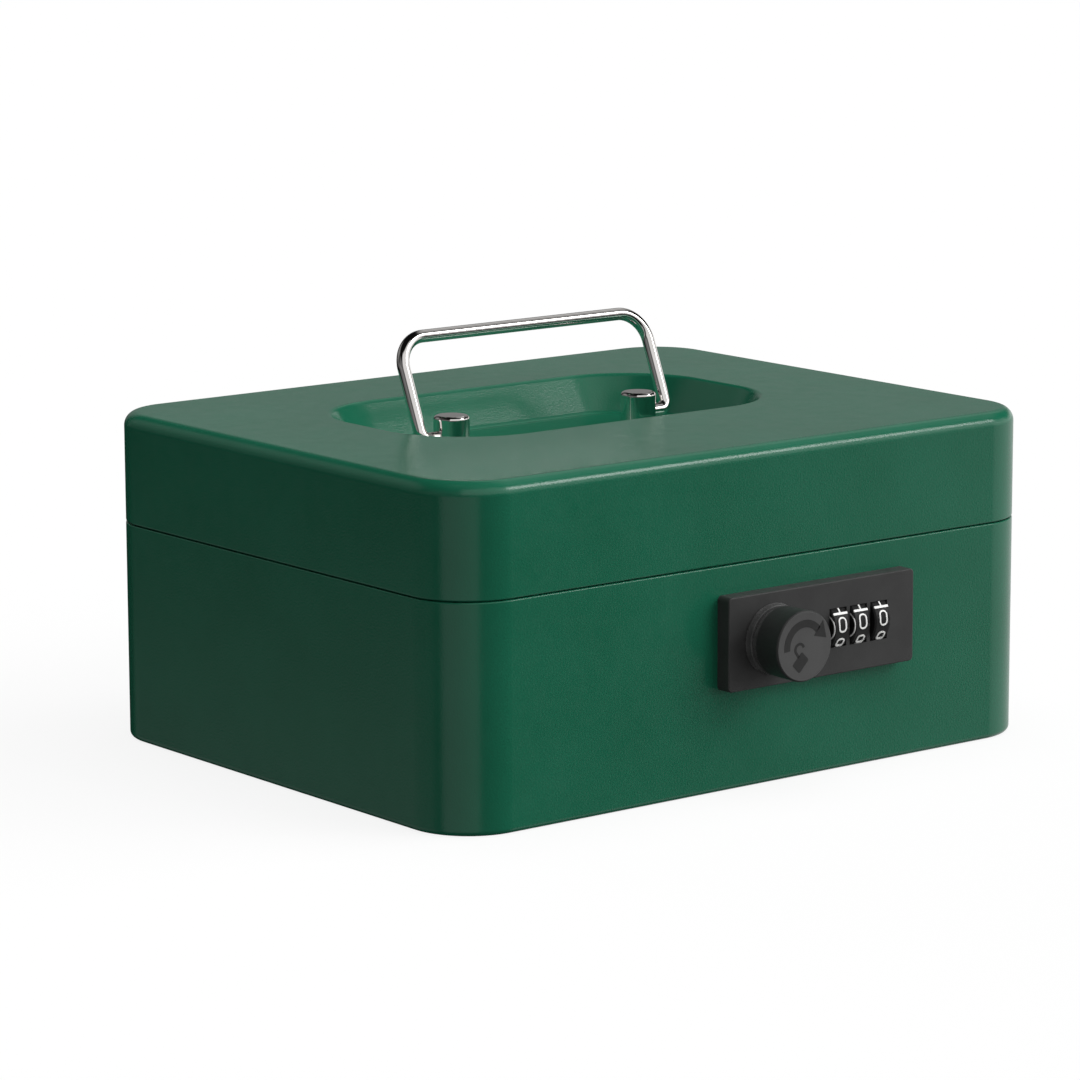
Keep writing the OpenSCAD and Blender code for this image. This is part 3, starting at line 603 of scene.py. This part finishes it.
def lid_skin():
    """The drawn lid: walls, rounded top edge, flat top and the pressed handle well."""
    half = (HALF_X - CORNER_R, HALF_Y - CORNER_R)
    well_half = (WELL_W / 2 - WELL_R, WELL_D / 2 - WELL_R)
    low, top = LID_LOW.z, LID_HIGH.z
    floor_z = top - WELL_DEPTH
    lean = math.degrees(WELL_LEAN)
    lean_in, lean_down = math.cos(WELL_LEAN), math.sin(WELL_LEAN)
    rim = (WELL_R, top - WELL_BEND_R)
    rim_end = (rim[0] - WELL_BEND_R * lean_in, rim[1] + WELL_BEND_R * lean_down)
    floor_start_z = floor_z + WELL_BEND_R * (1 - lean_down)
    floor_start = rim_end[0] - math.tan(WELL_LEAN) * (rim_end[1] - floor_start_z)
    foot = (floor_start - WELL_BEND_R * lean_in, floor_z + WELL_BEND_R)

    def well_side(rim_r, foot_r):
        return (arc(rim, rim_r, 90, 180 - lean, WELL_BEND_STEPS)
                + arc(foot, foot_r, -lean, -90, WELL_BEND_STEPS))

    edge = (CORNER_R - TOP_EDGE_R, top - TOP_EDGE_R)
    lip_out = (CORNER_R - LIP_R, low + LIP_R)
    lip_in = (CORNER_R - SHEET + LIP_R, low + LIP_R)
    wall = (
        arc(edge, TOP_EDGE_R, 90, 0, EDGE_STEPS)
        + arc(lip_out, LIP_R, 0, -90, LIP_STEPS)
        + arc(lip_in, LIP_R, -90, -180, LIP_STEPS)
        + arc(edge, TOP_EDGE_R - SHEET, 0, 90, EDGE_STEPS))
    seen_side = list(reversed(well_side(WELL_BEND_R, WELL_BEND_R)))
    hidden_side = well_side(WELL_BEND_R - SHEET, WELL_BEND_R + SHEET)
    points, faces = loft(
        rings(well_half, seen_side, WELL_Y) + rings(half, wall)
        + rings(well_half, hidden_side, WELL_Y))
    skin = add_piece("lid_skin", points, turned_inside_out(faces), "green_enamel", "lid")
    cut_boxes(skin, hinge_notches(low - CUT_PAST, HINGE_Z + NOTCH_HALF_H))
    smooth(skin)
    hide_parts("lid_shell")


# ---------------------------------------------------------------- handle

def handle_skin():
    """The bent wire of the handle, swept along its middle line as one smooth tube."""
    foot = (LEG_X - FOOT_BEND_R, FOOT_BEND_R)
    bend = (LEG_X - BAR_BEND_R, HANDLE_REACH - BAR_BEND_R)
    right = (
        [(FOOT_END_X, 0.0)]
        + arc(foot, FOOT_BEND_R, -90, 0, FOOT_BEND_STEPS)
        + arc(bend, BAR_BEND_R, 0, 90, BAR_BEND_STEPS))
    middle = [(x, HANDLE_REACH) for x in range(BAR_HALF, -BAR_HALF - 1, -BAR_STEP)]
    path = right + middle + [(-x, s) for x, s in reversed(right)]
    up = Vector((0, math.sin(HANDLE_LEAN), math.cos(HANDLE_LEAN)))
    across = Vector((0, math.cos(HANDLE_LEAN), -math.sin(HANDLE_LEAN)))
    loops = []
    for i, (x, s) in enumerate(path):
        (x0, s0), (x1, s1) = path[max(i - 1, 0)], path[min(i + 1, len(path) - 1)]
        along = (Vector((1, 0, 0)) * (x1 - x0) + up * (s1 - s0)).normalized()
        out = along.cross(across)
        centre = Vector((x, PIVOT_Y, PIVOT_Z)) + up * s
        loops.append([tuple(centre + WIRE_R * (math.cos(a) * across + math.sin(a) * out))
                      for a in (2 * math.pi * k / WIRE_SIDES for k in range(WIRE_SIDES))])
    points, faces = loft(loops)
    skin = add_piece("handle_skin", points, faces, "bright_chrome", "handle")
    smooth(skin)
    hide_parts("handle_bail")


# ---------------------------------------------------------------- digits and print

def resample(path, step):
    """Points along a polyline, no further apart than step."""
    out = []
    for (x0, y0), (x1, y1) in zip(path, path[1:]):
        n = max(1, math.ceil(math.hypot(x1 - x0, y1 - y0) / step))
        out += [(x0 + (x1 - x0) * i / n, y0 + (y1 - y0) * i / n) for i in range(n)]
    return out + [path[-1]]


def ribbon(path, width, closed):
    """Left and right edges of a stroke along a path, with mitred joints."""
    count = len(path)
    left, right = [], []
    for i, (x, y) in enumerate(path):
        before = path[i - 1] if i or closed else None
        after = path[(i + 1) % count] if i < count - 1 or closed else None
        normals = []
        for a, b in ((before, (x, y)), ((x, y), after)):
            if a is None or b is None:
                continue
            length = math.hypot(b[0] - a[0], b[1] - a[1])
            normals.append((-(b[1] - a[1]) / length, (b[0] - a[0]) / length))
        nx = sum(n[0] for n in normals) / len(normals)
        ny = sum(n[1] for n in normals) / len(normals)
        scale = width / 2 / max(nx * nx + ny * ny, SHARPEST_MITRE)
        left.append((x + nx * scale, y + ny * scale))
        right.append((x - nx * scale, y - ny * scale))
    return left, right


def raised_stroke(path, width, place, points, faces, closed=False):
    """Adds a stroke with a flat top and upright sides; place(u, v, up) gives its points."""
    left, right = ribbon(path, width, closed)
    first = len(points)
    for (lu, lv), (ru, rv) in zip(left, right):
        points += [place(lu, lv, 0), place(lu, lv, 1), place(ru, rv, 1), place(ru, rv, 0)]
    count = len(path)
    for i in range(count if closed else count - 1):
        a, b = first + 4 * i, first + 4 * ((i + 1) % count)
        for k in range(4):
            m = (k + 1) % 4
            faces.append((a + k, b + k, b + m, a + m))
    if not closed:
        last = first + 4 * (count - 1)
        faces.append((first, first + 1, first + 2, first + 3))
        faces.append((last + 3, last + 2, last + 1, last))


def raised_plate(outline, place, points, faces):
    """Adds a flat plate of the given outline; place(u, v, up) gives its points."""
    n, first = len(outline), len(points)
    for up in (0, 1):
        points += [place(u, v, up) for u, v in outline]
    faces.append(tuple(first + n + i for i in range(n)))
    faces.append(tuple(first + i for i in reversed(range(n))))
    for i in range(n):
        j = (i + 1) % n
        faces.append((first + i, first + j, first + n + j, first + n + i))


def digit_strokes():
    """Centre lines of the digits 0 to 9 in a box DIGIT_W by DIGIT_H about the origin.

    Each stroke says whether it is closed, and may give a width of its own.
    """
    w, h = (DIGIT_W - DIGIT_STROKE) / 2, (DIGIT_H - DIGIT_STROKE) / 2
    r = w * 0.9

    def bow(cx, cy, rx, ry, start, end, steps=DIGIT_ARC_STEPS):
        return [(cx + rx * x, cy + ry * y) for x, y in arc((0, 0), 1, start, end, steps)]

    def oval(cy, rx, ry):
        return bow(0, cy, rx, ry, 0, 360, 2 * DIGIT_ARC_STEPS)

    zero = round_corners(w - r, h - r, r, DIGIT_ARC_STEPS)
    upper, lower = h / 2, -h / 2
    foot = FOOT_RISE - h
    loop = [(x, 0.6 * y - 0.35 * h) for x, y in zero]
    tail = [(w, -0.5 * h), (w, -1.05 * h), (0.6 * w, -1.25 * h), (-0.4 * w, -1.25 * h)]
    return {
        0: [(zero, True)],
        1: [([(-2.1 * w, foot), (2.1 * w, foot)], False, FOOT_STROKE),
            ([(0, foot), (0, h), (-0.6 * w, 0.62 * h)], False)],
        2: [(bow(0, h - w, w, w, 160, -30) + [(-w, -h), (w, -h)], False)],
        3: [(bow(0, upper, w, upper, 150, -80) + bow(0, lower, w, upper, 80, -150), False)],
        4: [([(0.45 * w, -h), (0.45 * w, h), (-w, -0.35 * h), (w, -0.35 * h)], False)],
        5: [([(0.9 * w, h), (-0.8 * w, h), (-0.9 * w, 0.08 * h)]
             + bow(0, -0.36 * h, w, 0.64 * h, 130, -145), False)],
        6: [(oval(-0.4 * h, w, 0.6 * h), True),
            (bow(0.35 * w, -0.4 * h, 1.35 * w, 1.4 * h, 180, 95), False)],
        7: [([(-w, h), (w, h), (-0.3 * w, -h)], False)],
        8: [(oval(upper, 0.88 * w, upper), True), (oval(lower, w, upper), True)],
        9: [(loop, True), (tail, False)],
    }


def wheel_digits(number, node):
    """Raised white digits round a number wheel, with 0 at the front."""
    low, high = box_mm(node)
    centre_x = (low.x + high.x) / 2
    points, faces = [], []
    for digit, strokes in digit_strokes().items():
        turn = DIGIT_PITCH * digit + DIGIT_TURN

        def place(u, v, up, turn=turn):
            radius = WHEEL_R + (DIGIT_PROUD if up else -DIGIT_SINK)
            angle = turn + v / WHEEL_R
            return (centre_x + u, WHEEL_Y - radius * math.cos(angle),
                    LOCK_Z + radius * math.sin(angle))

        for path, closed, *width in strokes:
            dense = resample(path + ([path[0]] if closed else []), DIGIT_STEP)
            raised_stroke(dense[:-1] if closed else dense, width[0] if width else DIGIT_STROKE,
                          place, points, faces, closed)
    add_piece(f"wheel_{number}_digits", points, faces, "digit_paint",
              f"wheel_{number}", "wheel_plastic")


def paint_rim_highlight(number, node):
    """A painted highlight: a thin white arc on the wheel's left flank, touching its rim beside
    the 0.
    """
    low, _ = box_mm(node)
    centre_y = WHEEL_LOW.y + RIM_HIGHLIGHT_STROKE / 2 + RIM_HIGHLIGHT_R

    def place(u, v, up):
        return (low.x - (RIM_HIGHLIGHT_T if up else -PRINT_SINK), centre_y + u, LOCK_Z + v)

    points, faces = [], []
    line = arc((0, 0), RIM_HIGHLIGHT_R, *RIM_HIGHLIGHT_SWEEP, RIM_HIGHLIGHT_STEPS)
    raised_stroke(line, RIM_HIGHLIGHT_STROKE, place, points, faces)
    add_piece(f"wheel_{number}_painted_rim_highlight", points, faces, "digit_paint",
              f"wheel_{number}", "wheel_plastic")


# ---------------------------------------------------------------- knob and collar

def knob_skin():
    """The knob's dark barrel, with an eased edge round its face."""
    back, face = KNOB_HIGH.y, KNOB_LOW.y + DISC_T
    profile = [
        (HUB_R, back), (KNOB_R - KNOB_TAPER - KNOB_EDGE_R, back),
        (KNOB_R - KNOB_TAPER, back - KNOB_EDGE_R)]
    profile += arc((KNOB_R - KNOB_EDGE_R, face + KNOB_EDGE_R), KNOB_EDGE_R,
                   0, -90, KNOB_EDGE_STEPS)
    profile += [(FACE_CENTRE_R, face)]
    skin = add_piece("knob_skin", *turned(profile), "knob_barrel_plastic", "knob", "knob_plastic")
    smooth(skin)
    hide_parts("knob")


def knob_face():
    """The paler disc that fills the knob's face."""
    face = KNOB_LOW.y + PRINT_T
    back = face + DISC_T
    edge = (KNOB_R - DISC_INSET - DISC_EDGE_R, face + DISC_EDGE_R)
    profile = [(DISC_BACK_R, back), (KNOB_R - DISC_BACK_INSET, back)]
    profile += arc(edge, DISC_EDGE_R, 0, -90, SMALL_EDGE_STEPS)
    profile += [(FACE_CENTRE_R, face)]
    smooth(add_piece("knob_face", *turned(profile), "knob_plastic", "knob"))


def collar_skin():
    """The collar behind the knob: a bright back edge, a waist and a groove before the knob."""
    low, high = box_mm("knob_collar")
    radius, back, front = (high.z - low.z) / 2, high.y, low.y
    waist_back, waist_front = (back - y for y in COLLAR_WAIST_Y)
    back_edge = (radius - COLLAR_BACK_R, back - COLLAR_BACK_R)
    front_edge = (radius - COLLAR_WAIST - COLLAR_FRONT_R, waist_front)
    profile = [(HUB_R, back), (radius - COLLAR_BACK_R, back)]
    profile += arc(back_edge, COLLAR_BACK_R, 90, 0, SMALL_EDGE_STEPS)[1:]
    profile += [(radius - COLLAR_WAIST, waist_back), (radius - COLLAR_WAIST, waist_front)]
    profile += arc(front_edge, COLLAR_FRONT_R, 0, -90, SMALL_EDGE_STEPS)[1:]
    profile += [(radius - COLLAR_GROOVE, waist_front - COLLAR_FRONT_R),
                (radius - COLLAR_GROOVE, front), (HUB_R, front)]
    skin = add_piece(
        "collar_skin", *turned(profile), "collar_plastic", "base", "black_lock_plastic")
    smooth(skin)
    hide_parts("knob_collar")


def knob_print():
    """A curved arrow and an open padlock, printed on the knob's face."""
    face = KNOB_LOW.y + PRINT_T

    def place(u, v, up):
        return (KNOB_X + u, face - (PRINT_T if up else -PRINT_SINK), LOCK_Z + v)

    def tilted(outline):
        c, s = math.cos(PADLOCK_TILT), math.sin(PADLOCK_TILT)
        x, y = PADLOCK_CENTRE
        return [(x + u * c - v * s, y + u * s + v * c) for u, v in outline]

    points, faces = [], []
    shaft = arc((0, 0), ARROW_R, *ARROW_SWEEP, ARROW_STEPS)
    raised_stroke(shaft, ARROW_STROKE, place, points, faces)
    raised_plate(ARROW_HEAD, place, points, faces)
    case = round_corners(PADLOCK_HALF_W - PADLOCK_CORNER_R, PADLOCK_HALF_H - PADLOCK_CORNER_R,
                         PADLOCK_CORNER_R, PADLOCK_CORNER_STEPS)
    raised_plate(tilted(case), place, points, faces)
    shackle = SHACKLE_LEG + arc(SHACKLE_CENTRE, SHACKLE_R, *SHACKLE_SWEEP, SHACKLE_STEPS)
    raised_stroke(tilted(shackle), SHACKLE_STROKE, place, points, faces)
    add_piece("knob_print", points, faces, "print_ink", "knob", "knob_plastic")


# ---------------------------------------------------------------- studio

def direction(azimuth, elevation):
    """A unit vector; azimuth runs from the back, 0, over the right, 90, to the front, 180."""
    a, e = math.radians(azimuth), math.radians(elevation)
    return Vector((math.sin(a) * math.cos(e), math.cos(a) * math.cos(e), math.sin(e)))


def by_ray(tree, camera, gloss, other):
    """A value for camera rays, one for glossy or transmitted rays and one for all others."""
    path = tree.nodes.new("ShaderNodeLightPath").outputs
    shiny = math_node(tree, "MAXIMUM", path["Is Glossy Ray"], path["Is Transmission Ray"])
    return mix(tree, path["Is Camera Ray"], mix(tree, shiny, other, gloss), camera)


def room(tree):
    """What glossy surfaces mirror: soft boxes in a dim studio, by compass direction."""
    coords = tree.nodes.new("ShaderNodeTexCoord")
    split = tree.nodes.new("ShaderNodeSeparateXYZ")
    feed(tree, split.inputs["Vector"], coords.outputs["Generated"])
    x, y, z = split.outputs
    degrees = math.degrees(1)
    turn = math_node(tree, "MULTIPLY", math_node(tree, "ARCTAN2", x, y), degrees)
    azimuth = math_node(tree, "FLOORED_MODULO", turn, 360)
    elevation = math_node(tree, "MULTIPLY", math_node(tree, "ARCSINE", z), degrees)
    total = DIM
    for (a0, a1, a_soft), (e0, e1, e_soft), level in SOFT_BOXES:
        glow = level
        for value, low, high, soft in ((azimuth, a0, a1, a_soft), (elevation, e0, e1, e_soft)):
            rise = ease(tree, value, low - soft, low + soft)
            fall = ease(tree, value, high + soft, high - soft)
            glow = math_node(tree, "MULTIPLY", rise, glow)
            glow = math_node(tree, "MULTIPLY", fall, glow)
        total = math_node(tree, "ADD", glow, total)
    return total


def floor_material():
    """A pale floor: mostly its own even white, with enough lit surface to keep a soft shadow."""
    mat, tree, output = empty_material("floor")
    lit = tree.nodes.new("ShaderNodeBsdfDiffuse")
    feed(tree, lit.inputs["Color"], (FLOOR_LIT, FLOOR_LIT, FLOOR_LIT, 1))
    glow = tree.nodes.new("ShaderNodeEmission")
    strength = by_ray(tree, camera=FLOOR_GLOW, gloss=0.0, other=FLOOR_BOUNCE)
    feed(tree, glow.inputs["Strength"], strength)
    both = tree.nodes.new("ShaderNodeAddShader")
    feed(tree, both.inputs[0], lit.outputs["BSDF"])
    feed(tree, both.inputs[1], glow.outputs["Emission"])
    feed(tree, output, both.outputs["Shader"])
    return mat


def add_camera():
    """The camera at the photograph's place and angle."""
    piece = add_object("camera", bpy.data.cameras.new("camera"))
    piece.data.lens = CAMERA_LENS
    piece.data.sensor_width = CAMERA_SENSOR
    piece.data.clip_start, piece.data.clip_end = CAMERA_CLIP
    look = direction(CAMERA_YAW, -CAMERA_PITCH).to_track_quat("-Z", "Y").to_matrix().to_4x4()
    roll = Matrix.Rotation(math.radians(CAMERA_ROLL), 4, "Z")
    piece.matrix_world = Matrix.Translation(mm(*CAMERA_AT)) @ look @ roll
    bpy.context.scene.camera = piece


def add_floor():
    """The floor that the box stands on; glossy surfaces don't mirror it."""
    sides = [(-1, -1), (1, -1), (1, 1), (-1, 1)]
    corners = [(x * FLOOR_HALF, y * FLOOR_HALF, 0) for x, y in sides]
    floor = add_mesh("floor", corners, [(0, 1, 2, 3)])
    floor.data.materials.append(floor_material())
    floor.visible_glossy = False


def add_world():
    """The world: white to the camera, soft boxes to glossy surfaces, dim to all else."""
    world = bpy.data.worlds.new("studio")
    bpy.context.scene.world = world
    world.use_nodes = True
    tree = world.node_tree
    tree.nodes.clear()
    background = tree.nodes.new("ShaderNodeBackground")
    output = tree.nodes.new("ShaderNodeOutputWorld")
    feed(tree, output.inputs["Surface"], background.outputs["Background"])
    strength = by_ray(tree, camera=WHITE, gloss=room(tree), other=SKY)
    feed(tree, background.inputs["Strength"], strength)
    world.cycles.sampling_method = "NONE"


def add_lamps():
    """Distant round lamps."""
    for name, (azimuth, elevation, size, strength, mirrored) in LAMPS.items():
        data = bpy.data.lights.new(name, "SUN")
        data.angle = math.radians(size)
        data.energy = strength
        lamp = add_object(name, data)
        lamp.visible_glossy = mirrored
        towards = direction(azimuth, elevation)
        lamp.matrix_world = towards.to_track_quat("Z", "Y").to_matrix().to_4x4()


# ---------------------------------------------------------------- build

finish_nodes()
base_skin()
lid_skin()
handle_skin()
for index, wheel in enumerate(WHEELS, 1):
    wheel_digits(index, wheel)
# Painted rim highlight, on the first two wheels only
for index, wheel in enumerate(RIM_HIGHLIGHT_WHEELS, 1):
    paint_rim_highlight(index, wheel)
collar_skin()
knob_skin()
knob_face()
knob_print()

bpy.context.scene.view_settings.view_transform = "Standard"
add_camera()
add_floor()
add_world()
add_lamps()
